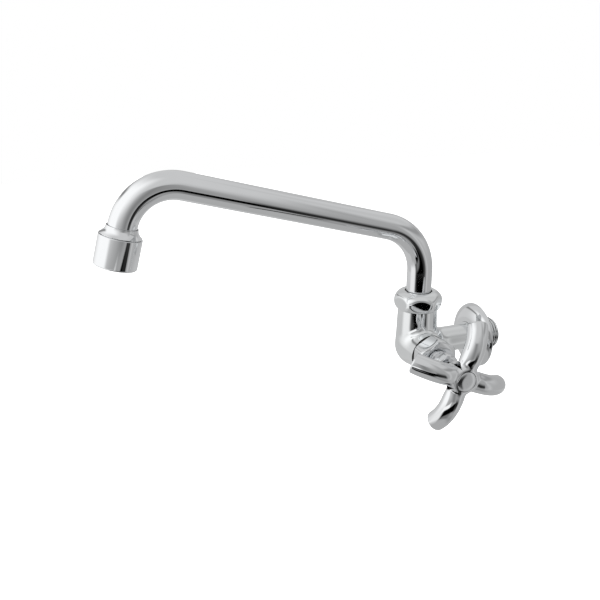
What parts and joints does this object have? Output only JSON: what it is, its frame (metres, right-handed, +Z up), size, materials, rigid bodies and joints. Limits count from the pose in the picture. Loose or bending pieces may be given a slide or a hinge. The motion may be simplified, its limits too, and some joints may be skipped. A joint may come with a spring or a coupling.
{
  "type": "wall-mounted single tap",
  "caption": "Chrome wall-mounted single tap with a high swinging spout, an aerator, a cross handle on the side and a round wall flange.",
  "frame": {"origin": "centre of the inlet on the wall plane, which is the back of the wall flange", "axes": "+Y into the wall along the inlet, +Z up, +X to the user's right along the valve spindle; the spout reaches towards -Y"},
  "size_m": [0.0833, 0.2563, 0.1568],
  "materials": {
    "chrome": "polished chrome plate on brass",
    "brass": "machined",
    "steel": "stainless",
    "rubber": "moulded",
    "nylon": "moulded",
    "fibre": "pressed fibre"
  },
  "bodies": {
    "base": {"tap_body": "chrome", "wall_flange": "chrome", "union_nut": "chrome", "neck_slip_washer": "nylon", "nut_slip_washer": "nylon", "bonnet": "chrome", "bonnet_washer": "fibre", "gland_nut": "chrome", "gland_packing": "rubber", "gland_ring": "brass"},
    "spout": {"spout_tube": "chrome", "spout_tail": "brass", "tail_o_ring_lower": "rubber", "tail_o_ring_upper": "rubber", "outlet_collar": "chrome", "aerator_shell": "chrome", "aerator_washer": "rubber", "aerator_insert": "nylon", "aerator_diffuser": "nylon", "outlet_screen": "steel"},
    "valve_disc": {"jumper": "brass", "tap_washer": "rubber", "washer_nut": "brass"},
    "handle": {"spindle": "brass", "cross_handle": "chrome", "handle_screw": "steel", "index_cap": "chrome"}
  },
  "joints": [
    {"name": "spout_swivel", "type": "hinge", "parent": "base", "child": "spout", "pos_m": [0, -0.045, 0], "axis": [0, 0, 1], "range_deg": [-90, 90]},
    {"name": "valve_lift", "type": "slide", "parent": "base", "child": "valve_disc", "axis": [1, 0, 0], "range_m": [0, 0.004]},
    {"name": "handle_turn", "type": "hinge", "parent": "valve_disc", "child": "handle", "pos_m": [0.0555, -0.045, 0], "axis": [1, 0, 0], "range_deg": [0, 720]}
  ],
  "couplings": [
    {"joint": "valve_lift", "follows": "handle_turn", "m_per_rad": 0.0003183}
  ]
}
